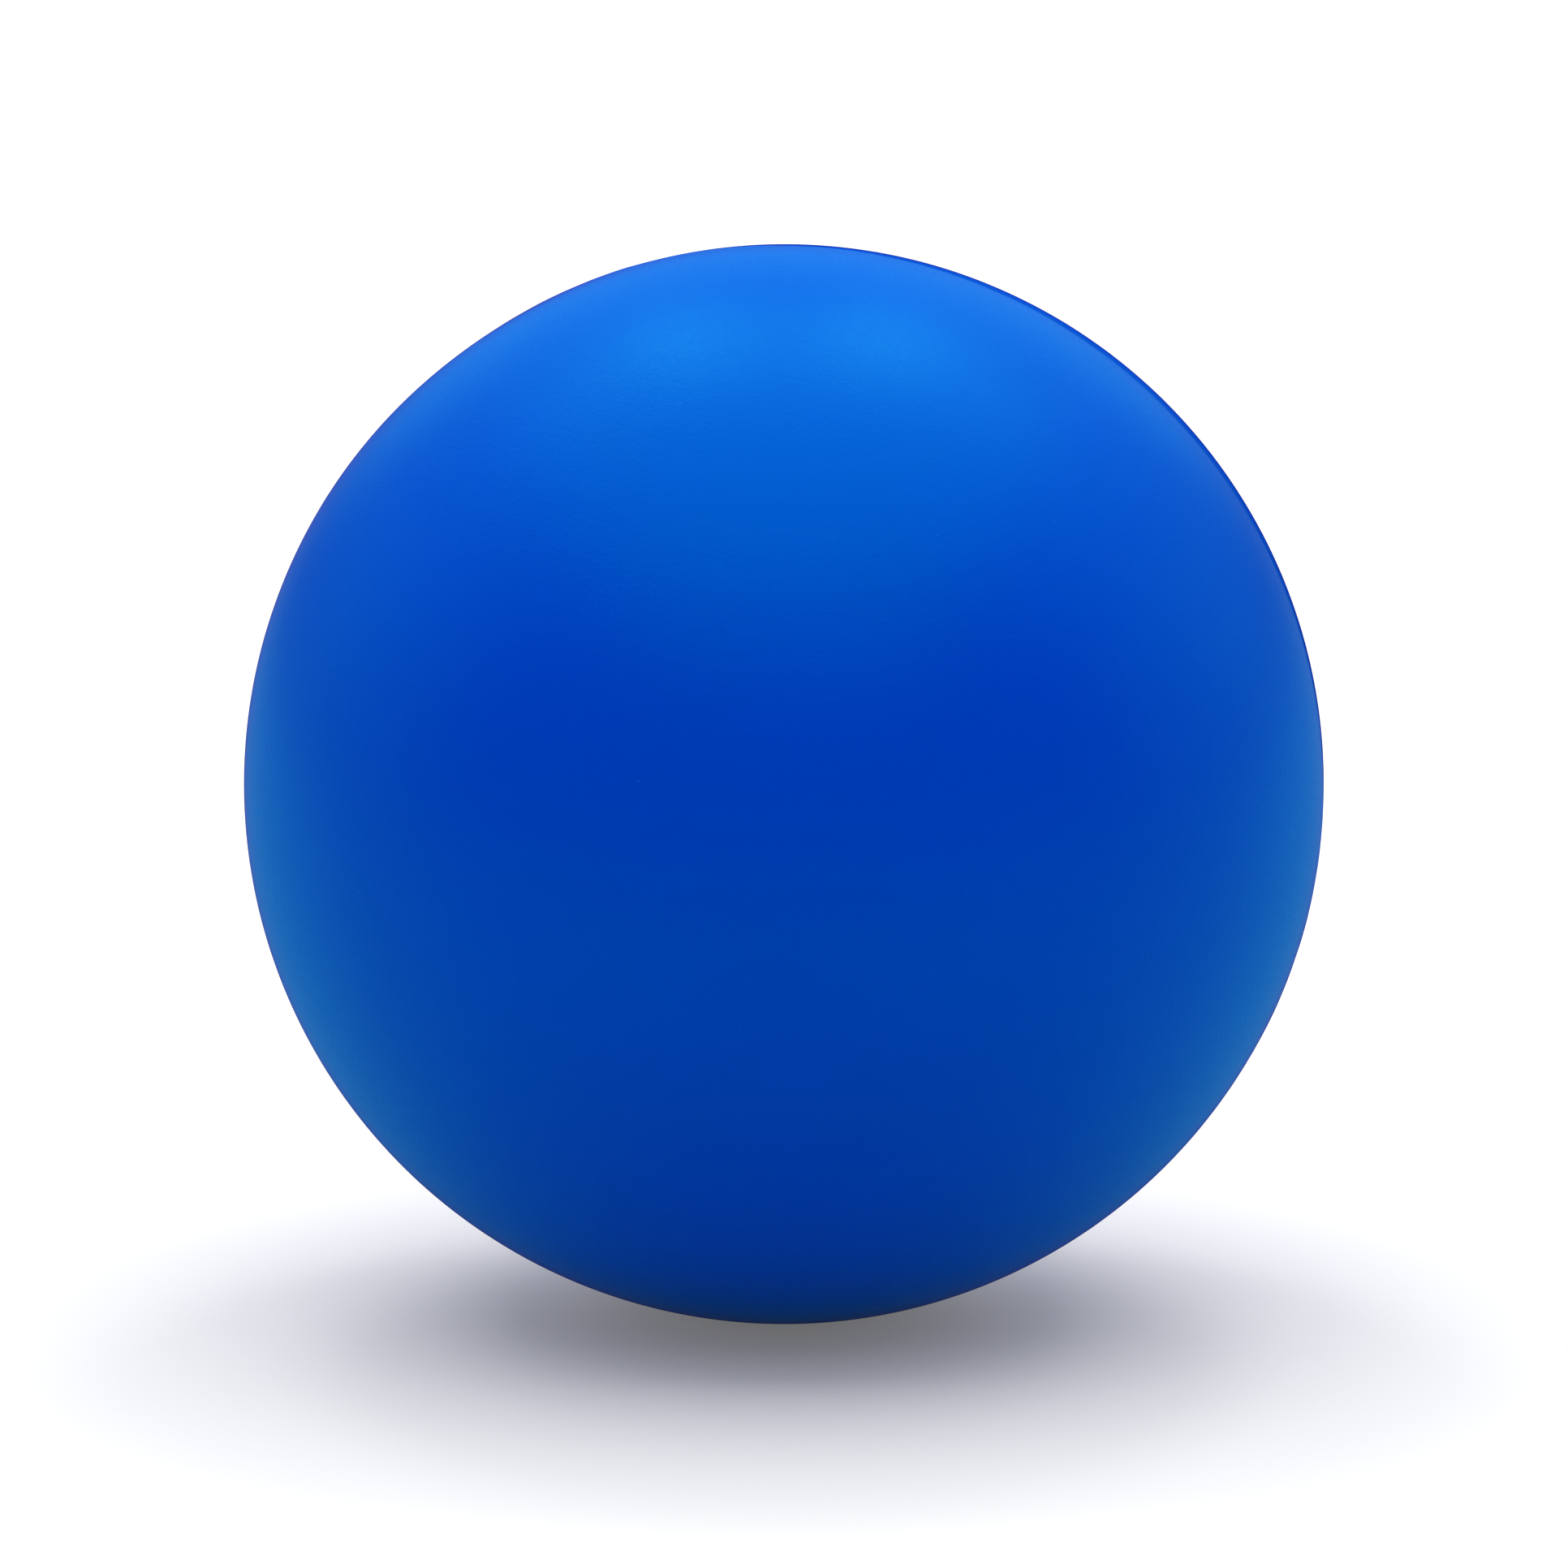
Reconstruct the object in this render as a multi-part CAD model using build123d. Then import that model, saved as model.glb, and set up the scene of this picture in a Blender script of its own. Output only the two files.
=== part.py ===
"""Lacrosse ball: a solid rubber core cemented inside a moulded rubber cover made in two halves.

The origin is the centre of the ball. The halves meet on the XZ plane, the front half faces -Y, and +Z is up.
"""

import math
import os

from build123d import *

# Ball and cover, in millimetres
ball_diameter = 63.5
cover_thickness = 5.0
bond_line = 0.1

# Lapped seam: a tongue on the front half slides into a rebate in the rear half
tongue_length = 3.0
tongue_thickness = 2.4
tongue_side_clearance = 0.1
tongue_end_clearance = 0.2

# Low bead of trimmed flash along the parting line, half of it on each cover half
flash_height = 0.08
flash_half_width = 0.4

# Radii that follow from the sizes above
ball_radius = ball_diameter / 2
cover_inner_radius = ball_radius - cover_thickness
core_radius = cover_inner_radius - bond_line
tongue_outer_radius = cover_inner_radius + tongue_thickness
rebate_radius = tongue_outer_radius + tongue_side_clearance
rebate_depth = tongue_length + tongue_end_clearance
flash_crest_radius = ball_radius + flash_height


def across(radius, height):
    """Distance from the moulding axis of a point on a sphere, at a height from the parting plane."""
    return math.sqrt(radius**2 - height**2)


def sphere_arc(radius, start_height, end_height):
    """Arc of a sphere's outline between two heights from the parting plane."""
    middle_height = radius * math.sin(
        (math.asin(start_height / radius) + math.asin(end_height / radius)) / 2
    )
    heights = (start_height, middle_height, end_height)
    return ThreePointArc(*[(across(radius, height), height) for height in heights])


def flash_arc(side):
    """Half of the flash bead, from the ball's surface to the bead's crest on the parting plane."""
    foot = (across(ball_radius, flash_half_width), side * flash_half_width)
    rise = flash_crest_radius - foot[0]
    bead_radius = (rise**2 + flash_half_width**2) / (2 * rise)
    half_angle = math.asin(flash_half_width / bead_radius) / 2
    bead_centre = flash_crest_radius - bead_radius
    middle = (
        bead_centre + bead_radius * math.cos(half_angle),
        side * bead_radius * math.sin(half_angle),
    )
    return ThreePointArc(foot, middle, (flash_crest_radius, 0))


def turned(*edges):
    """Solid of revolution about the moulding axis, from a closed outline in the XY plane."""
    return revolve(make_face(Wire(edges)), Axis.Y, 360)


def make_core():
    """Solid ball that fills the cover, less the bond line."""
    return Sphere(core_radius)


def make_front_cover():
    """Half shell towards -Y, with a tongue that carries its inner wall past the parting plane."""
    skin = sphere_arc(ball_radius, -ball_radius, -flash_half_width)
    flash = flash_arc(-1)
    rim_and_tongue = Polyline(
        (flash_crest_radius, 0),
        (tongue_outer_radius, 0),
        (tongue_outer_radius, tongue_length),
        (cover_inner_radius, tongue_length),
        (cover_inner_radius, 0),
    )
    inner_wall = sphere_arc(cover_inner_radius, 0, -cover_inner_radius)
    pole = Line((0, -cover_inner_radius), (0, -ball_radius))
    return turned(skin, flash, *rim_and_tongue.edges(), inner_wall, pole)


def make_rear_cover():
    """Half shell towards +Y, with a rebate round its rim for the front half's tongue."""
    skin = sphere_arc(ball_radius, ball_radius, flash_half_width)
    flash = flash_arc(1)
    rim_and_rebate = Polyline(
        (flash_crest_radius, 0),
        (rebate_radius, 0),
        (rebate_radius, rebate_depth),
        (across(cover_inner_radius, rebate_depth), rebate_depth),
    )
    inner_wall = sphere_arc(cover_inner_radius, rebate_depth, cover_inner_radius)
    pole = Line((0, cover_inner_radius), (0, ball_radius))
    return turned(skin, flash, *rim_and_rebate.edges(), inner_wall, pole)


pieces = {
    "core": make_core(),
    "front_cover": make_front_cover(),
    "rear_cover": make_rear_cover(),
}

os.makedirs("parts", exist_ok=True)
for name, piece in pieces.items():
    export_step(piece, f"parts/{name}.step")
    print(f"{name}: {piece.volume / 1000:.3f} cubic centimetres")
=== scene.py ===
"""A blue rubber lacrosse ball, dressed round its CAD frame: a core inside a cover of two halves.

It is laid out as an add-on and run as a script. The halves meet on the XZ plane and the front half faces -Y.
Sizes are in metres.
"""

import math
from collections import namedtuple

import bmesh
import bpy
from bpy.props import FloatProperty, FloatVectorProperty, IntProperty, PointerProperty
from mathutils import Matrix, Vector, noise


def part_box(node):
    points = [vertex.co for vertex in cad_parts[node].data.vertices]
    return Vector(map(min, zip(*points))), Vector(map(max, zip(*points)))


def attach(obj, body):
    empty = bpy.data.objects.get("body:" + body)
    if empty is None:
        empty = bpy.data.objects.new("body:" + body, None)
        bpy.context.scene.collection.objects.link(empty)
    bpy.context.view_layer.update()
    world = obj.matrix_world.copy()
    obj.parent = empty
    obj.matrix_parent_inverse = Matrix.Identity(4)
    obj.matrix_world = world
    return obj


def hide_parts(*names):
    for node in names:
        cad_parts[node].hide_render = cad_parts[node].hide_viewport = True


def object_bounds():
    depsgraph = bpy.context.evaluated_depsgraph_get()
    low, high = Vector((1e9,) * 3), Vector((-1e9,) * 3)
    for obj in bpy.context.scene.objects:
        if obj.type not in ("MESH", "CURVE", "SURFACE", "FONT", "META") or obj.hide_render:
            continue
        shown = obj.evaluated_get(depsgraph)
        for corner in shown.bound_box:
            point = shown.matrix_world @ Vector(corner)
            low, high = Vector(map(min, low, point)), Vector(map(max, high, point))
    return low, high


bl_info = {
    "name": "Lacrosse ball",
    "version": (1, 0, 0),
    "blender": (4, 5, 0),
    "location": "3D View > Sidebar > Ball",
    "description": "Builds a moulded rubber ball round its CAD frame and sets it in a white studio",
    "category": "Object",
}

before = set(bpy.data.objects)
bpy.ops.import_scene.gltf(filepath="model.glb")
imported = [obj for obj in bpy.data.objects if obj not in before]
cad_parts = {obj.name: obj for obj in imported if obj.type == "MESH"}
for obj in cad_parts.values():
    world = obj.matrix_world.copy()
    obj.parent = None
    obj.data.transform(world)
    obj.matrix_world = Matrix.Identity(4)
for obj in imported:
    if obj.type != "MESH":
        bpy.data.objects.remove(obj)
CAD_LOW, CAD_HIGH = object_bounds()
FRONT_LOW, FRONT_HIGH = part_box("front_cover")
CORE_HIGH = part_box("core")[1]

# Film of cement between the core and the cover
BOND_LINE = 0.0001

# The photograph's frame, in pixels: its side, and the radius of the ball's outline in it
PHOTO_SIDE = 1932
OUTLINE_RADIUS = 665.6

# The camera's sensor, in millimetres
SENSOR_WIDTH = 36.0

MOULD_AXIS = Vector((0, 1, 0))
OUTLINE_AXIS = Vector((0, 0, 1))
CENTRE = Vector((0, 0, 0))
FRONT = -1
REAR = 1

# Faces of a turned shell, narrower on the shoulder next to the seam than on the crown
WEDGES = 8
SHOULDER_ANGLE = math.radians(3)
CROWN_STEPS = 87
SHOULDER_STEPS = 8
BEAD_STEPS = 6
INNER_STEPS = 30

# An edge that turns more than this is sharp
SHARP_ANGLE = math.radians(40)

# Points nearer than the first are joined, and a point on the skin may lie below it by the second
MERGE_DISTANCE = 1e-7
SKIN_TOLERANCE = 1e-6

# Fractal noise of the trimming nicks
NICK_SMOOTHNESS = 0.8
NICK_LACUNARITY = 2.0
NICK_OCTAVES = 3

# Ranges that most values of the noise textures lie in
GRAIN_RANGE = (0.35, 0.65)
CLOUD_RANGE = (0.2, 0.8)
RAGGED_RANGE = (0.3, 0.7)

# Share of a speck's radius inside which it has its full colour
SPECK_CORE = 0.5

# Sockets of a Mix node that blends colours
MIX_SHARE, MIX_FIRST, MIX_SECOND = 0, 6, 7
MIX_RESULT = 2

# The floor, and the distances between which its glow rises
FLOOR_RADIUS = 4.0
FLOOR_SEGMENTS = 96
FLOOR_ROUGHNESS = 0.9
GLOW_START = 0.3
GLOW_END = 1.6

# Lamps: the setting that holds their brightness, turn from the camera and height in degrees, distance, size
Lamp = namedtuple("Lamp", "name setting turn height distance size")
LAMPS = (
    Lamp("overhead_panel", "overhead", 180, 88, 1.1, (1.7, 1.6)),
    Lamp("brow_panel", "brow", 0, 50, 1.2, (1.2, 0.7)),
    Lamp("rear_panel", "rear", 180, 26, 1.2, (1.45, 0.7)),
    Lamp("left_panel", "left", -106, 32, 1.2, (1.2, 1.2)),
    Lamp("right_panel", "right", 106, 32, 1.2, (1.2, 1.2)),
    Lamp("softbox_left", "softbox", 204, 60, 0.9, (0.16, 0.3)),
    Lamp("softbox_right", "softbox", 156, 60, 0.9, (0.16, 0.3)),
)


class CoverSizes(bpy.types.PropertyGroup):
    """Sizes of the cover and of its lapped seam."""

    ball_radius: FloatProperty(
        name="Ball radius", description="From the centre to the playing surface",
        default=-FRONT_LOW.y, unit="LENGTH", precision=5)
    flash_crest: FloatProperty(
        name="Flash crest", description="From the centre to the crest of the untrimmed flash",
        default=FRONT_HIGH.x, unit="LENGTH", precision=5)
    inner_radius: FloatProperty(
        name="Inner radius", description="From the centre to the cover's inner wall",
        default=CORE_HIGH.z + BOND_LINE, unit="LENGTH", precision=5)
    tongue_length: FloatProperty(
        name="Tongue length", description="Reach of the front half's tongue past the parting plane",
        default=FRONT_HIGH.y, unit="LENGTH", precision=5)
    tongue_thickness: FloatProperty(
        name="Tongue thickness", description="Wall of the tongue, outwards from the inner wall",
        default=0.0024, unit="LENGTH", precision=5)
    side_clearance: FloatProperty(
        name="Side clearance", description="Gap round the tongue in its rebate",
        default=0.0001, unit="LENGTH", precision=5)
    end_clearance: FloatProperty(
        name="End clearance", description="Gap past the tongue's end in its rebate",
        default=0.0002, unit="LENGTH", precision=5)
    flash_half_width: FloatProperty(
        name="Flash half width", description="Half of the flash bead, which each half carries",
        default=0.0004, unit="LENGTH", precision=5)
    wedge_steps: IntProperty(
        name="Wedge steps", description="Faces round one wedge of the turned shell", default=64, min=8)


class SeamMarks(bpy.types.PropertyGroup):
    """Marks that moulding and trimming leave on the skin."""

    least_flash: FloatProperty(
        name="Least flash", description="Share of the flash bead left where it was trimmed closest",
        default=0.1, subtype="FACTOR", min=0, max=1)
    most_flash: FloatProperty(
        name="Most flash", description="Share of the flash bead left where it was trimmed least",
        default=0.45, subtype="FACTOR", min=0, max=1)
    nick_spacing: FloatProperty(
        name="Nick spacing", description="Distance along the seam from one trimming nick to the next",
        default=0.0022, unit="LENGTH", precision=5)
    nick_contrast: FloatProperty(
        name="Nick contrast", description="How far the nicks stray from half of the trimming's range",
        default=0.6, subtype="FACTOR", min=0, max=1)
    edge_wander: FloatProperty(
        name="Edge wander", description="How far the dull band's edge strays from the parting plane",
        default=0.00006, unit="LENGTH", precision=6)
    edge_width: FloatProperty(
        name="Edge width", description="Distance over which the dull band sets in at the seam",
        default=0.00004, unit="LENGTH", precision=6)
    fade_start: FloatProperty(
        name="Fade start", description="Distance from the seam at which the dull band starts to fade",
        default=0.0036, unit="LENGTH", precision=5)
    fade_end: FloatProperty(
        name="Fade end", description="Distance from the seam at which the dull band has faded out",
        default=0.0081, unit="LENGTH", precision=5)
    buff_width: FloatProperty(
        name="Buff width", description="Width of the strip on the rear half that buffing lowers",
        default=0.0045, unit="LENGTH", precision=5)
    buff_depth: FloatProperty(
        name="Buff depth", description="Rubber that buffing takes off next to the seam",
        default=0.00003, unit="LENGTH", precision=6)
    flat_angle: FloatProperty(
        name="Flat angle", description="Where the trimming knife cut a slight flat, from +X towards +Z",
        default=math.radians(130), subtype="ANGLE")
    flat_half_span: FloatProperty(
        name="Flat half span", description="Half of the angle that the flat takes up",
        default=math.radians(27), subtype="ANGLE")
    flat_depth: FloatProperty(
        name="Flat depth", description="Depth of the flat at its middle",
        default=0.00009, unit="LENGTH", precision=6)
    flat_half_width: FloatProperty(
        name="Flat half width", description="Half of the flat's width across the seam",
        default=0.004, unit="LENGTH", precision=5)
    wave_length: FloatProperty(
        name="Wave length", description="Size of the shallow waves that shrinkage leaves on the skin",
        default=0.009, unit="LENGTH", precision=5)
    wave_depth: FloatProperty(
        name="Wave depth", description="Depth of those waves",
        default=0.000006, unit="LENGTH", precision=6)


class CoverFinish(bpy.types.PropertyGroup):
    """Colours and surface detail of the cover's blue rubber."""

    blue: FloatVectorProperty(
        name="Blue", description="Colour of the cover's rubber",
        default=(0.0, 0.026, 0.47), subtype="COLOR", size=3, min=0, max=1)
    buffed_blue: FloatVectorProperty(
        name="Buffed blue", description="Colour of the rubber that buffing lays bare at the seam",
        default=(0.0, 0.036, 0.46), subtype="COLOR", size=3, min=0, max=1)
    pale: FloatVectorProperty(
        name="Pale", description="Colour of the paler specks in the skin",
        default=(0.015, 0.062, 0.51), subtype="COLOR", size=3, min=0, max=1)
    mottling: FloatProperty(
        name="Mottling", description="How far the blue strays from its average in cloudy patches",
        default=0.05, subtype="FACTOR", min=0, max=1)
    cloud_size: FloatProperty(
        name="Cloud size", description="Size of the cloudy patches",
        default=0.011, unit="LENGTH", precision=5)
    gloss: FloatProperty(
        name="Gloss", description="Specular level of the skin",
        default=0.46, subtype="FACTOR", min=0, max=1)
    gloss_colour: FloatVectorProperty(
        name="Gloss colour", description="Tint of the gloss where the skin is seen face on",
        default=(0.0, 0.9, 0.5), subtype="COLOR", size=3, min=0, max=1)
    film_colour: FloatVectorProperty(
        name="Film colour", description="Tint that pigment gives to light that comes back through the skin",
        default=(0.0, 0.92, 0.975), subtype="COLOR", size=3, min=0, max=1)
    powdery_tint: FloatProperty(
        name="Powdery tint", description="How strongly that pigment tints the front half",
        default=0.925, subtype="FACTOR", min=0, max=1)
    wiped_tint: FloatProperty(
        name="Wiped tint", description="How strongly that pigment tints the rear half",
        default=0.96, subtype="FACTOR", min=0, max=1)
    bloom: FloatProperty(
        name="Bloom", description="Strength of the powdery film that pales the front half's rim",
        default=0.055, subtype="FACTOR", min=0, max=1)
    bloom_spread: FloatProperty(
        name="Bloom spread", description="How far that film reaches in from the rim",
        default=0.2, subtype="FACTOR", min=0, max=1)
    satin: FloatProperty(
        name="Satin", description="Roughness of the moulded skin, on average",
        default=0.43, subtype="FACTOR", min=0, max=1)
    satin_range: FloatProperty(
        name="Satin range", description="How far the roughness strays from its average in the grain",
        default=0.03, subtype="FACTOR", min=0, max=1)
    buffed: FloatProperty(
        name="Buffed", description="Roughness of the dull band at the seam",
        default=0.65, subtype="FACTOR", min=0, max=1)
    grain_size: FloatProperty(
        name="Grain size", description="Pitch of the moulded grain",
        default=0.00022, unit="LENGTH", precision=5)
    grain_depth: FloatProperty(
        name="Grain depth", description="Depth of the moulded grain",
        default=0.000012, unit="LENGTH", precision=6)
    scratch_length: FloatProperty(
        name="Scratch length", description="Length of the buffing scratches, along the seam",
        default=0.0025, unit="LENGTH", precision=5)
    scratch_width: FloatProperty(
        name="Scratch width", description="Pitch of the buffing scratches, nine to a millimetre",
        default=0.001 / 9, unit="LENGTH", precision=5)
    scratch_depth: FloatProperty(
        name="Scratch depth", description="Depth of the buffing scratches",
        default=0.000024, unit="LENGTH", precision=6)
    speck_spacing: FloatProperty(
        name="Speck spacing", description="Distance between specks in the body of the rubber",
        default=0.0036, unit="LENGTH", precision=5)
    speck_radius: FloatProperty(
        name="Speck radius", description="Radius of a speck",
        default=0.0001, unit="LENGTH", precision=5)


class CoreFinish(bpy.types.PropertyGroup):
    """Colours and surface detail of the core's charcoal rubber."""

    charcoal: FloatVectorProperty(
        name="Charcoal", description="Colour of the core's rubber",
        default=(0.03, 0.03, 0.033), subtype="COLOR", size=3, min=0, max=1)
    fleck: FloatVectorProperty(
        name="Fleck", description="Colour of ground rubber in the core",
        default=(0.11, 0.11, 0.115), subtype="COLOR", size=3, min=0, max=1)
    mottling: FloatProperty(
        name="Mottling", description="How far the charcoal strays from its average in cloudy patches",
        default=0.2, subtype="FACTOR", min=0, max=1)
    cloud_size: FloatProperty(
        name="Cloud size", description="Size of the cloudy patches",
        default=0.007, unit="LENGTH", precision=5)
    fleck_spacing: FloatProperty(
        name="Fleck spacing", description="Distance between flecks of ground rubber",
        default=0.0016, unit="LENGTH", precision=5)
    fleck_radius: FloatProperty(
        name="Fleck radius", description="Radius of a fleck",
        default=0.0004, unit="LENGTH", precision=5)
    grain_size: FloatProperty(
        name="Grain size", description="Pitch of the core's grain",
        default=0.0006, unit="LENGTH", precision=5)
    grain_depth: FloatProperty(
        name="Grain depth", description="Depth of the core's grain",
        default=0.00003, unit="LENGTH", precision=6)
    least_rough: FloatProperty(
        name="Least rough", description="Roughness of the core's smoothest patches",
        default=0.75, subtype="FACTOR", min=0, max=1)
    most_rough: FloatProperty(
        name="Most rough", description="Roughness of the core's roughest patches",
        default=0.9, subtype="FACTOR", min=0, max=1)


class StudioSetting(bpy.types.PropertyGroup):
    """Where the camera stands, and how bright the lamps' faces are, where 1 is white."""

    camera_azimuth: FloatProperty(
        name="Camera azimuth", description="Turn of the camera towards +X from the moulding axis",
        default=math.radians(7.8), subtype="ANGLE")
    camera_elevation: FloatProperty(
        name="Camera elevation", description="Height of the camera above the horizon",
        default=math.radians(9.2), subtype="ANGLE")
    camera_distance: FloatProperty(
        name="Camera distance", description="From the ball's centre to the lens",
        default=0.434, unit="LENGTH")
    overhead: FloatProperty(
        name="Overhead", description="Brightness of the large panel above the ball", default=2.2, min=0)
    brow: FloatProperty(
        name="Brow", description="Brightness of the panel above the camera", default=1.1, min=0)
    rear: FloatProperty(
        name="Rear", description="Brightness of the low panel behind the ball", default=1.2, min=0)
    left: FloatProperty(
        name="Left", description="Brightness of the panel at the left of the ball", default=0.7, min=0)
    right: FloatProperty(
        name="Right", description="Brightness of the panel at the right of the ball", default=0.8, min=0)
    softbox: FloatProperty(
        name="Softbox", description="Brightness of each of the two softboxes", default=6.5, min=0)
    room: FloatProperty(
        name="Room", description="Brightness of the surroundings", default=0.38, min=0)
    floor: FloatProperty(
        name="Floor", description="Share of light that the floor sends back", default=0.56, min=0, max=1)
    near_glow: FloatProperty(
        name="Near glow", description="Glow that lifts the floor to white near the ball", default=0.14, min=0)
    far_glow: FloatProperty(
        name="Far glow", description="Glow that lifts the floor to white far from it", default=0.7, min=0)


class OutlinePen:
    """Draws the outline of a cover half in the XY plane, from the outer pole to the inner one."""

    def __init__(self, mesh, side, start):
        self.mesh = mesh
        self.side = side
        self.tip = mesh.verts.new((start[0], side * start[1], 0))

    def arc(self, centre, angle, steps):
        """Turn the tip about a centre, towards the parting plane where the angle is positive."""
        swept = bmesh.ops.spin(
            self.mesh, geom=[self.tip], cent=(centre[0], self.side * centre[1], 0), axis=OUTLINE_AXIS,
            angle=-self.side * angle, steps=steps)
        self.tip = swept["geom_last"][0]

    def line(self, end):
        """Run straight to a point."""
        drawn = bmesh.ops.extrude_vert_indiv(self.mesh, verts=[self.tip])
        self.tip = drawn["verts"][0]
        self.tip.co = (end[0], self.side * end[1], 0)


def across(radius, height):
    """Distance from the moulding axis of a point on a sphere, at a height from the parting plane."""
    return math.sqrt(radius**2 - height**2)


def draw_skin(pen, sizes):
    """The playing surface from its pole to the parting plane, with half of the flash bead."""
    foot_angle = math.asin(sizes.flash_half_width / sizes.ball_radius)
    pen.arc(CENTRE, math.pi / 2 - SHOULDER_ANGLE, CROWN_STEPS)
    pen.arc(CENTRE, SHOULDER_ANGLE - foot_angle, SHOULDER_STEPS)
    rise = sizes.flash_crest - across(sizes.ball_radius, sizes.flash_half_width)
    bead_radius = (rise**2 + sizes.flash_half_width**2) / (2 * rise)
    bead_centre = (sizes.flash_crest - bead_radius, 0)
    pen.arc(bead_centre, math.asin(sizes.flash_half_width / bead_radius), BEAD_STEPS)


def draw_tongue(pen, sizes):
    """The front half's rim, and the tongue that carries its inner wall past the parting plane."""
    tongue_outer = sizes.inner_radius + sizes.tongue_thickness
    for corner in (
        (tongue_outer, 0),
        (tongue_outer, -sizes.tongue_length),
        (sizes.inner_radius, -sizes.tongue_length),
        (sizes.inner_radius, 0),
    ):
        pen.line(corner)
    pen.arc(CENTRE, -math.pi / 2, INNER_STEPS)


def draw_rebate(pen, sizes):
    """The rear half's rim, and the rebate that takes the tongue."""
    rebate_outer = sizes.inner_radius + sizes.tongue_thickness + sizes.side_clearance
    rebate_depth = sizes.tongue_length + sizes.end_clearance
    for corner in (
        (rebate_outer, 0),
        (rebate_outer, rebate_depth),
        (across(sizes.inner_radius, rebate_depth), rebate_depth),
    ):
        pen.line(corner)
    pen.arc(CENTRE, math.asin(rebate_depth / sizes.inner_radius) - math.pi / 2, INNER_STEPS)


def turn_outline(shell, wedge_steps):
    """Turn an outline about the moulding axis: one wedge is spun, and copies of it close the round."""
    wedge = math.tau / WEDGES
    bmesh.ops.spin(
        shell, geom=shell.verts[:] + shell.edges[:], cent=CENTRE, axis=MOULD_AXIS, angle=wedge,
        steps=wedge_steps)
    bmesh.ops.spin(
        shell, geom=shell.verts[:] + shell.edges[:] + shell.faces[:], cent=CENTRE, axis=MOULD_AXIS,
        angle=math.tau - wedge, steps=WEDGES - 1, use_duplicate=True)
    bmesh.ops.remove_doubles(shell, verts=shell.verts, dist=MERGE_DISTANCE)


def swell(distance, reach):
    """1 in the middle, falling smoothly to 0 at the reach."""
    share = min(abs(distance) / reach, 1)
    return (1 - share**2) ** 2


def nick_level(point, marks):
    """How little the trimming took at a place along the seam, from 0 to 1."""
    around = Vector((point.x, 0, point.z)) / marks.nick_spacing
    ripple = noise.fractal(around, NICK_SMOOTHNESS, NICK_LACUNARITY, NICK_OCTAVES)
    return min(max(0.5 + marks.nick_contrast * ripple, 0), 1)


def trimmed_off(point, bead, side, marks):
    """Rubber that trimming, buffing and shrinkage take off at a point, where the bead has a given height."""
    turn = math.remainder(math.atan2(point.z, point.x) - marks.flat_angle, math.tau)
    cut = swell(turn, marks.flat_half_span)
    left_over = marks.least_flash + (marks.most_flash - marks.least_flash) * nick_level(point, marks)
    trimming = bead * (1 - (1 - cut) * left_over)
    flat = marks.flat_depth * cut * swell(point.y, marks.flat_half_width)
    buffing = marks.buff_depth * swell(point.y, marks.buff_width) if side == REAR else 0
    waves = marks.wave_depth * (1 + noise.noise(point / marks.wave_length)) / 2
    return trimming + flat + buffing + waves


def wear_skin(shell, side, sizes, marks):
    """Leave the marks of moulding and trimming on the outer skin."""
    for vertex in shell.verts:
        radius = vertex.co.length
        bead = radius - sizes.ball_radius
        if bead > -SKIN_TOLERANCE:
            vertex.co *= 1 - trimmed_off(vertex.co, bead, side, marks) / radius


def make_cover(name, node, side, draw_rim):
    """One half of the cover: its outline turned about the moulding axis into a closed shell."""
    sizes = bpy.context.scene.ball_cover
    shell = bmesh.new()
    pen = OutlinePen(shell, side, (0, sizes.ball_radius))
    draw_skin(pen, sizes)
    draw_rim(pen, sizes)
    turn_outline(shell, sizes.wedge_steps)
    wear_skin(shell, side, sizes, bpy.context.scene.ball_marks)
    bmesh.ops.recalc_face_normals(shell, faces=shell.faces)
    for face in shell.faces:
        face.smooth = True
    for edge in shell.edges:
        edge.smooth = edge.calc_face_angle(0) < SHARP_ANGLE
    data = bpy.data.meshes.new(name)
    shell.to_mesh(data)
    shell.free()
    piece = bpy.data.objects.new(name, data)
    bpy.context.scene.collection.objects.link(piece)
    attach(piece, "root")
    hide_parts(node)
    return piece


def add_node(tree, kind, inputs=None, **settings):
    """New shader node. An input that is a socket is linked, and any other is set as a value."""
    made = tree.nodes.new(kind)
    for name, value in settings.items():
        setattr(made, name, value)
    for name, value in (inputs or {}).items():
        if isinstance(value, bpy.types.NodeSocket):
            tree.links.new(value, made.inputs[name])
        else:
            made.inputs[name].default_value = value
    return made


def maths(tree, operation, first, second):
    """Result of a sum on two values or sockets."""
    return add_node(tree, "ShaderNodeMath", {0: first, 1: second}, operation=operation).outputs[0]


def ramp(tree, value, start, end, low, high, kind="LINEAR"):
    """Value carried from one range to another, and held at the ends."""
    inputs = {"Value": value, "From Min": start, "From Max": end, "To Min": low, "To Max": high}
    return add_node(tree, "ShaderNodeMapRange", inputs, interpolation_type=kind).outputs["Result"]


def blended(tree, share, first, second):
    """Colour between two colours."""
    inputs = {MIX_SHARE: share, MIX_FIRST: first, MIX_SECOND: second}
    return add_node(tree, "ShaderNodeMix", inputs, data_type="RGBA").outputs[MIX_RESULT]


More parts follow.
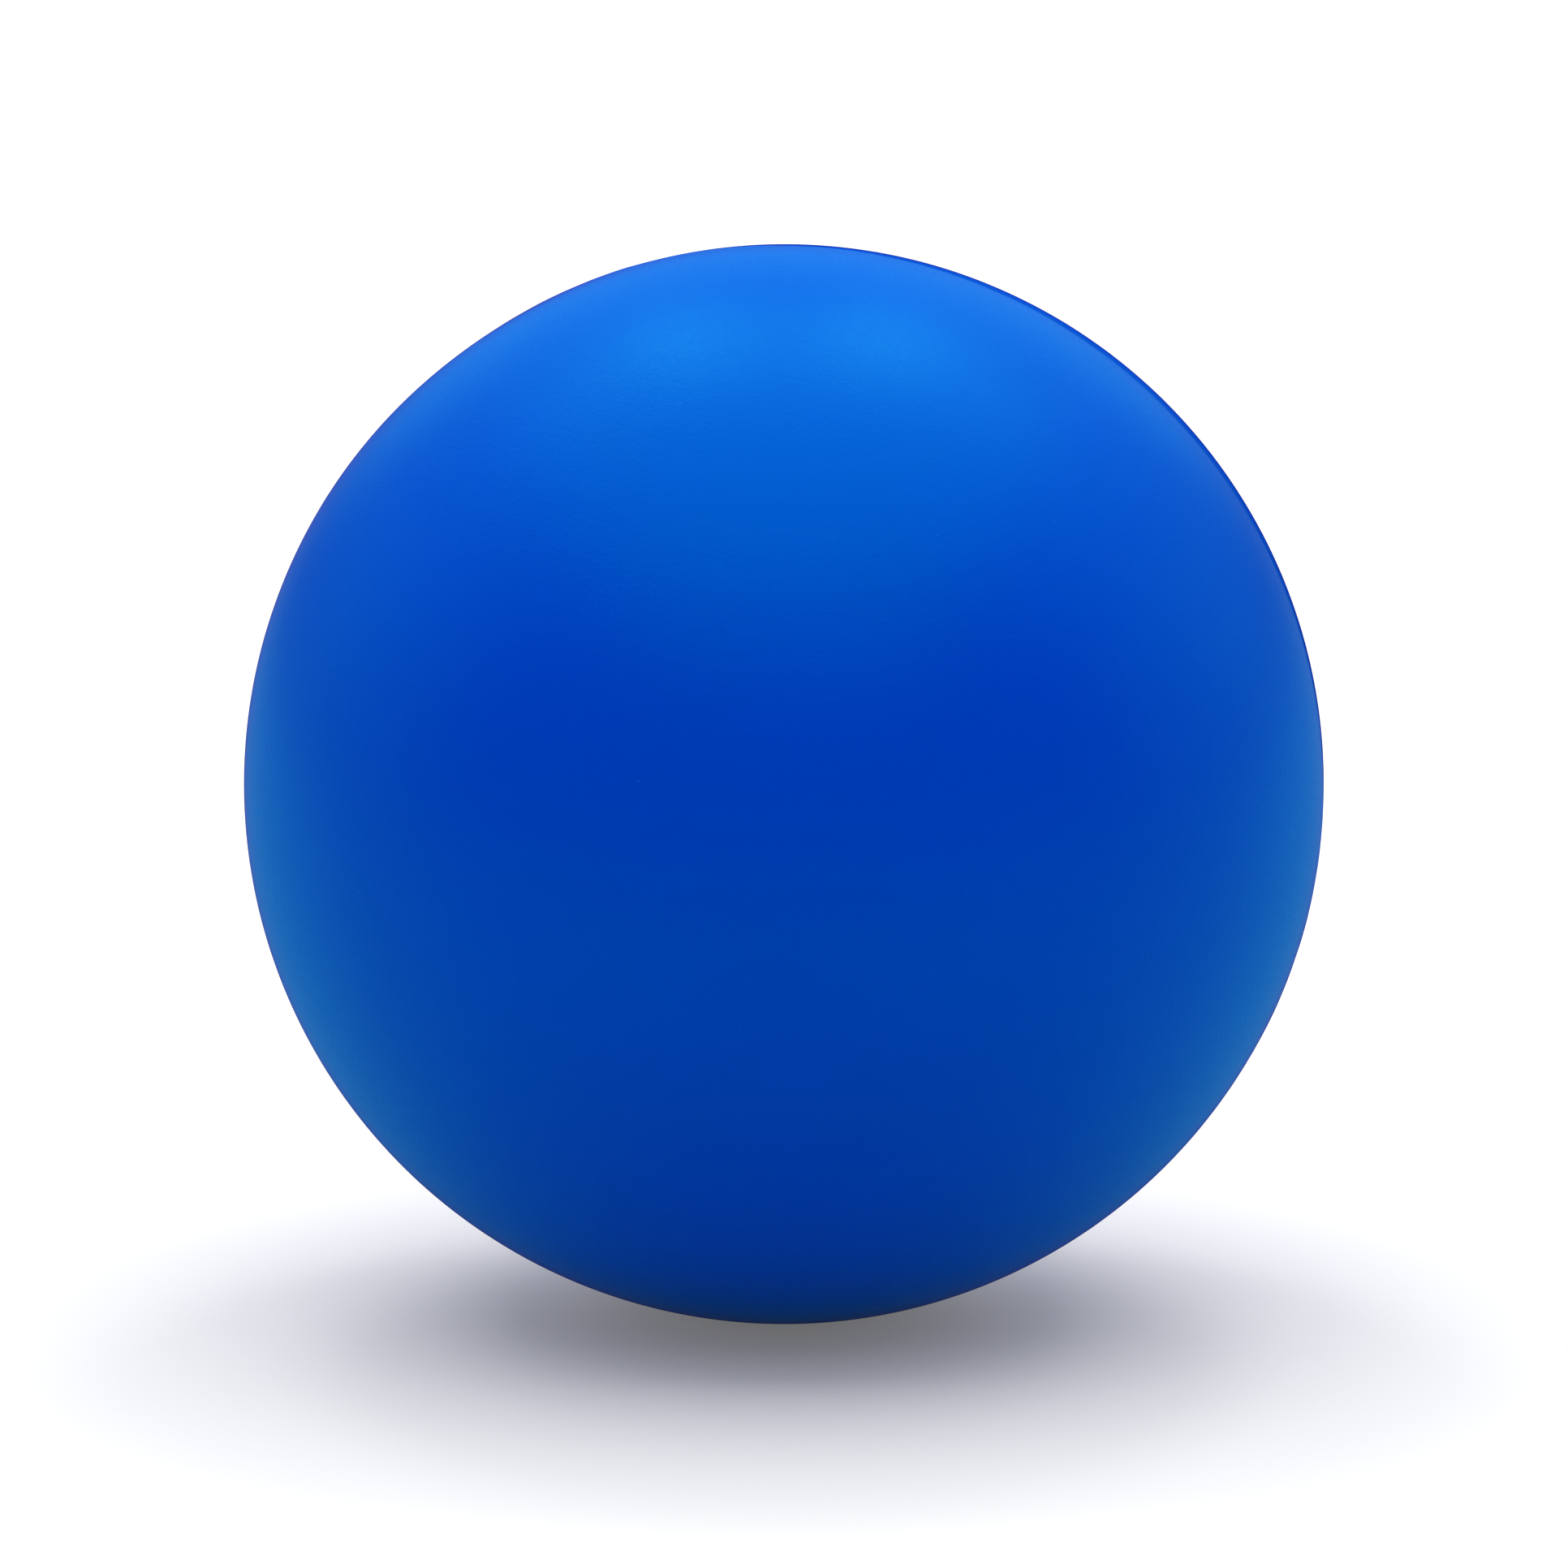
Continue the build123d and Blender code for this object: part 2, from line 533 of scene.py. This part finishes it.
def rubber_skin():
    """Node group that both rubbers use: grain, cloudy mottling and sparse specks, each from 0 to 1."""
    if "rubber_skin" in bpy.data.node_groups:
        return bpy.data.node_groups["rubber_skin"]
    group = bpy.data.node_groups.new("rubber_skin", "ShaderNodeTree")
    group.interface.new_socket("Position", in_out="INPUT", socket_type="NodeSocketVector")
    for name in ("Grain Size", "Cloud Size", "Speck Spacing", "Speck Radius"):
        group.interface.new_socket(name, in_out="INPUT", socket_type="NodeSocketFloat")
    for name in ("Grain", "Clouds", "Specks"):
        group.interface.new_socket(name, in_out="OUTPUT", socket_type="NodeSocketFloat")
    given = add_node(group, "NodeGroupInput").outputs
    position = given["Position"]
    grain = add_node(group, "ShaderNodeTexNoise", {
        "Vector": position, "Scale": maths(group, "DIVIDE", 1, given["Grain Size"]),
        "Detail": 2, "Roughness": 0.55}).outputs["Fac"]
    clouds = add_node(group, "ShaderNodeTexNoise", {
        "Vector": position, "Scale": maths(group, "DIVIDE", 1, given["Cloud Size"]),
        "Detail": 3, "Roughness": 0.6}).outputs["Fac"]
    distance = add_node(group, "ShaderNodeTexVoronoi", {
        "Vector": position, "Scale": maths(group, "DIVIDE", 1, given["Speck Spacing"])}).outputs["Distance"]
    reach = maths(group, "DIVIDE", given["Speck Radius"], given["Speck Spacing"])
    specks = ramp(group, maths(group, "DIVIDE", distance, reach), SPECK_CORE, 1, 1, 0, "SMOOTHSTEP")
    add_node(group, "NodeGroupOutput", {"Grain": grain, "Clouds": clouds, "Specks": specks})
    return group


def new_material(name):
    """Material with an empty node tree, its Principled shader and its output."""
    material = bpy.data.materials.new(name)
    material.use_nodes = True
    tree = material.node_tree
    tree.nodes.clear()
    shader = add_node(tree, "ShaderNodeBsdfPrincipled")
    add_node(tree, "ShaderNodeOutputMaterial", {"Surface": shader.outputs["BSDF"]})
    return material, tree, shader


def shaded(colour, factor=1):
    """A colour made lighter or darker, with full alpha."""
    return (*[factor * channel for channel in colour], 1)


def mottled(tree, clouds, colour, amount):
    """A colour that strays to both sides of its average in cloudy patches."""
    return blended(tree, clouds, shaded(colour, 1 - amount), shaded(colour, 1 + amount))


def buffed_band(tree, position, marks):
    """1 on the dull band that runs along the rear half's side of the seam, with a ragged edge at the seam."""
    height = add_node(tree, "ShaderNodeSeparateXYZ", {"Vector": position}).outputs["Y"]
    ragged = add_node(tree, "ShaderNodeTexNoise", {
        "Vector": position, "Scale": 1 / marks.nick_spacing, "Detail": 3}).outputs["Fac"]
    wander = ramp(tree, ragged, *RAGGED_RANGE, -marks.edge_wander, marks.edge_wander)
    edge = ramp(tree, maths(tree, "ADD", height, wander), 0, marks.edge_width, 0, 1)
    fade = ramp(tree, height, marks.fade_start, marks.fade_end, 1, 0, "SMOOTHSTEP")
    return maths(tree, "MULTIPLY", edge, fade)


def blue_rubber(name, bloom, tint):
    """The cover's satin blue rubber, with fine grain, a few pale specks and the dull band at the seam.

    Bloom is the powdery film that pales the rim, and tint is the pigment's share in the colour of the gloss.
    """
    finish = bpy.context.scene.ball_blue
    material, tree, shader = new_material(name)
    position = add_node(tree, "ShaderNodeTexCoord").outputs["Object"]
    skin = add_node(tree, "ShaderNodeGroup", {
        "Position": position, "Grain Size": finish.grain_size, "Cloud Size": finish.cloud_size,
        "Speck Spacing": finish.speck_spacing, "Speck Radius": finish.speck_radius},
        node_tree=rubber_skin()).outputs
    band = buffed_band(tree, position, bpy.context.scene.ball_marks)

    pigment = mottled(tree, skin["Clouds"], finish.blue, finish.mottling)
    worn = blended(tree, band, pigment, shaded(finish.buffed_blue))
    colour = blended(tree, skin["Specks"], worn, shaded(finish.pale))

    smoothest = finish.satin - finish.satin_range
    roughest = finish.satin + finish.satin_range
    satin = ramp(tree, skin["Grain"], *GRAIN_RANGE, smoothest, roughest)
    lift = maths(tree, "MULTIPLY", band, finish.buffed - finish.satin)
    roughness = maths(tree, "ADD", satin, lift)

    pitch = (1 / finish.scratch_length, 1 / finish.scratch_width, 1 / finish.scratch_length)
    streaks = add_node(tree, "ShaderNodeMapping", {"Vector": position, "Scale": pitch}).outputs["Vector"]
    scratches = add_node(
        tree, "ShaderNodeTexNoise", {"Vector": streaks, "Scale": 1, "Detail": 2}).outputs["Fac"]
    moulded = maths(tree, "MULTIPLY", skin["Grain"], finish.grain_depth)
    ground = maths(tree, "MULTIPLY", maths(tree, "MULTIPLY", scratches, band), finish.scratch_depth)
    bump = add_node(tree, "ShaderNodeBump", {"Height": maths(tree, "ADD", moulded, ground), "Distance": 1})

    tree.links.new(colour, shader.inputs["Base Color"])
    tree.links.new(roughness, shader.inputs["Roughness"])
    tree.links.new(bump.outputs["Normal"], shader.inputs["Normal"])
    shader.inputs["Specular IOR Level"].default_value = finish.gloss
    shader.inputs["Specular Tint"].default_value = shaded(finish.gloss_colour)
    # A coat that reflects nothing of its own takes most of the red out of the gloss, as strong pigment does
    shader.inputs["Coat Weight"].default_value = tint
    shader.inputs["Coat Roughness"].default_value = 1
    shader.inputs["Coat IOR"].default_value = 1
    shader.inputs["Coat Tint"].default_value = shaded(finish.film_colour)
    shader.inputs["Sheen Weight"].default_value = bloom
    shader.inputs["Sheen Roughness"].default_value = finish.bloom_spread
    return material


def core_rubber():
    """The core's dull charcoal rubber, with flecks of ground rubber in it."""
    finish = bpy.context.scene.ball_charcoal
    material, tree, shader = new_material("charcoal_rubber")
    position = add_node(tree, "ShaderNodeTexCoord").outputs["Object"]
    skin = add_node(tree, "ShaderNodeGroup", {
        "Position": position, "Grain Size": finish.grain_size, "Cloud Size": finish.cloud_size,
        "Speck Spacing": finish.fleck_spacing, "Speck Radius": finish.fleck_radius},
        node_tree=rubber_skin()).outputs
    body = mottled(tree, skin["Clouds"], finish.charcoal, finish.mottling)
    colour = blended(tree, skin["Specks"], body, shaded(finish.fleck))
    roughness = ramp(tree, skin["Clouds"], *CLOUD_RANGE, finish.least_rough, finish.most_rough)
    height = maths(tree, "MULTIPLY", skin["Grain"], finish.grain_depth)
    bump = add_node(tree, "ShaderNodeBump", {"Height": height, "Distance": 1})
    tree.links.new(colour, shader.inputs["Base Color"])
    tree.links.new(roughness, shader.inputs["Roughness"])
    tree.links.new(bump.outputs["Normal"], shader.inputs["Normal"])
    return material


def towards(azimuth, elevation):
    """Direction from the ball's centre. Azimuth 0 is -Y, where the front half faces, and 90 degrees is +X."""
    return Vector((
        math.sin(azimuth) * math.cos(elevation),
        -math.cos(azimuth) * math.cos(elevation),
        math.sin(elevation),
    ))


def aim(thing, direction, distance):
    """Put a lamp or a camera at a distance from the ball, looking at its centre."""
    thing.location = direction * distance
    thing.rotation_euler = (-direction).to_track_quat("-Z", "Y").to_euler()


def light_ball(studio):
    """Soft light from above and from the sides, with two softboxes behind that make a pair of highlights."""
    for lamp in LAMPS:
        data = bpy.data.lights.new(lamp.name, "AREA")
        data.shape = "RECTANGLE"
        data.size, data.size_y = lamp.size
        data.energy = math.pi * data.size * data.size_y * getattr(studio, lamp.setting)
        panel = bpy.data.objects.new(lamp.name, data)
        bpy.context.scene.collection.objects.link(panel)
        azimuth = studio.camera_azimuth + math.radians(lamp.turn)
        aim(panel, towards(azimuth, math.radians(lamp.height)), lamp.distance)


def make_camera(studio):
    """Camera at the photograph's viewing angle, with a lens that gives the outline its size there."""
    data = bpy.data.cameras.new("camera")
    outline_angle = math.asin(bpy.context.scene.ball_cover.ball_radius / studio.camera_distance)
    half_view = math.tan(outline_angle) * PHOTO_SIDE / 2 / OUTLINE_RADIUS
    data.sensor_width = SENSOR_WIDTH
    data.lens = SENSOR_WIDTH / 2 / half_view
    camera = bpy.data.objects.new("camera", data)
    bpy.context.scene.collection.objects.link(camera)
    aim(camera, towards(studio.camera_azimuth, studio.camera_elevation), studio.camera_distance)
    bpy.context.scene.camera = camera


def light_room(studio):
    """Plain pale surroundings."""
    world = bpy.data.worlds.new("pale_room")
    world.use_nodes = True
    tree = world.node_tree
    tree.nodes.clear()
    background = add_node(tree, "ShaderNodeBackground", {"Color": (1, 1, 1, 1), "Strength": studio.room})
    add_node(tree, "ShaderNodeOutputWorld", {"Surface": background.outputs["Background"]})
    bpy.context.scene.world = world


def sees_background(tree):
    """1 for a ray from the camera or one that gloss or glass sends on, and 0 for light on the object."""
    path = add_node(tree, "ShaderNodeLightPath").outputs
    mirrored = maths(tree, "MAXIMUM", path["Is Glossy Ray"], path["Is Transmission Ray"])
    return maths(tree, "MAXIMUM", path["Is Camera Ray"], mirrored)


def white_floor(studio):
    """Pale floor that looks white, also far from the lamps, and keeps the ball's shadow."""
    material, tree, shader = new_material("white_floor")
    place = add_node(tree, "ShaderNodeTexCoord").outputs["Object"]
    distance = add_node(tree, "ShaderNodeVectorMath", {0: place}, operation="LENGTH").outputs["Value"]
    glow = ramp(tree, distance, GLOW_START, GLOW_END, studio.near_glow, studio.far_glow)
    shown = maths(tree, "MULTIPLY", glow, sees_background(tree))
    tree.links.new(shown, shader.inputs["Emission Strength"])
    shader.inputs["Emission Color"].default_value = (1, 1, 1, 1)
    shader.inputs["Base Color"].default_value = shaded((1, 1, 1), studio.floor)
    shader.inputs["Roughness"].default_value = FLOOR_ROUGHNESS
    shader.inputs["Specular IOR Level"].default_value = 0
    return material


def make_floor(studio):
    """Floor under the ball, wide enough to fill the view."""
    disc = bmesh.new()
    bmesh.ops.create_circle(disc, cap_ends=True, segments=FLOOR_SEGMENTS, radius=FLOOR_RADIUS)
    bmesh.ops.translate(disc, verts=disc.verts, vec=(0, 0, CAD_LOW.z))
    data = bpy.data.meshes.new("floor")
    disc.to_mesh(data)
    disc.free()
    floor = bpy.data.objects.new("floor", data)
    bpy.context.scene.collection.objects.link(floor)
    data.materials.append(white_floor(studio))


class BALL_OT_core(bpy.types.Operator):
    """Dress the CAD core in dark rubber"""

    bl_idname = "ball.core"
    bl_label = "Core"

    def execute(self, context):
        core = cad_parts["core"]
        core.data.materials.clear()
        core.data.materials.append(core_rubber())
        return {"FINISHED"}


class BALL_OT_cover(bpy.types.Operator):
    """Build the two halves of the cover, the front one with its tongue and the rear one with its rebate"""

    bl_idname = "ball.cover"
    bl_label = "Cover"

    def execute(self, context):
        front = make_cover("front_cover_skin", "front_cover", FRONT, draw_tongue)
        rear = make_cover("rear_cover_skin", "rear_cover", REAR, draw_rebate)
        finish = context.scene.ball_blue
        front.data.materials.append(blue_rubber("powdery_blue_rubber", finish.bloom, finish.powdery_tint))
        rear.data.materials.append(blue_rubber("wiped_blue_rubber", 0, finish.wiped_tint))
        return {"FINISHED"}


class BALL_OT_stage(bpy.types.Operator):
    """Set the ball on a white floor under soft studio light"""

    bl_idname = "ball.stage"
    bl_label = "Stage"

    def execute(self, context):
        studio = context.scene.ball_studio
        context.scene.view_settings.view_transform = "Standard"
        make_camera(studio)
        make_floor(studio)
        light_room(studio)
        light_ball(studio)
        return {"FINISHED"}


class BALL_PT_panel(bpy.types.Panel):
    """Sizes, finish and build steps of the ball"""

    bl_label = "Lacrosse ball"
    bl_idname = "BALL_PT_panel"
    bl_space_type = "VIEW_3D"
    bl_region_type = "UI"
    bl_category = "Ball"

    def draw(self, context):
        for name, group in PROPERTY_GROUPS.items():
            column = self.layout.column(align=True)
            for setting in group.__annotations__:
                column.prop(getattr(context.scene, name), setting)
        for operator in OPERATORS:
            self.layout.operator(operator.bl_idname)


PROPERTY_GROUPS = {
    "ball_cover": CoverSizes,
    "ball_marks": SeamMarks,
    "ball_blue": CoverFinish,
    "ball_charcoal": CoreFinish,
    "ball_studio": StudioSetting,
}
OPERATORS = (BALL_OT_core, BALL_OT_cover, BALL_OT_stage)


def register():
    for name, group in PROPERTY_GROUPS.items():
        bpy.utils.register_class(group)
        setattr(bpy.types.Scene, name, PointerProperty(type=group))
    for operator in OPERATORS:
        bpy.utils.register_class(operator)
    bpy.utils.register_class(BALL_PT_panel)


def unregister():
    bpy.utils.unregister_class(BALL_PT_panel)
    for operator in reversed(OPERATORS):
        bpy.utils.unregister_class(operator)
    for name, group in PROPERTY_GROUPS.items():
        delattr(bpy.types.Scene, name)
        bpy.utils.unregister_class(group)


def main():
    """Build the ball and its studio."""
    register()
    bpy.ops.ball.core()
    bpy.ops.ball.cover()
    bpy.ops.ball.stage()


if __name__ == "__main__":
    main()
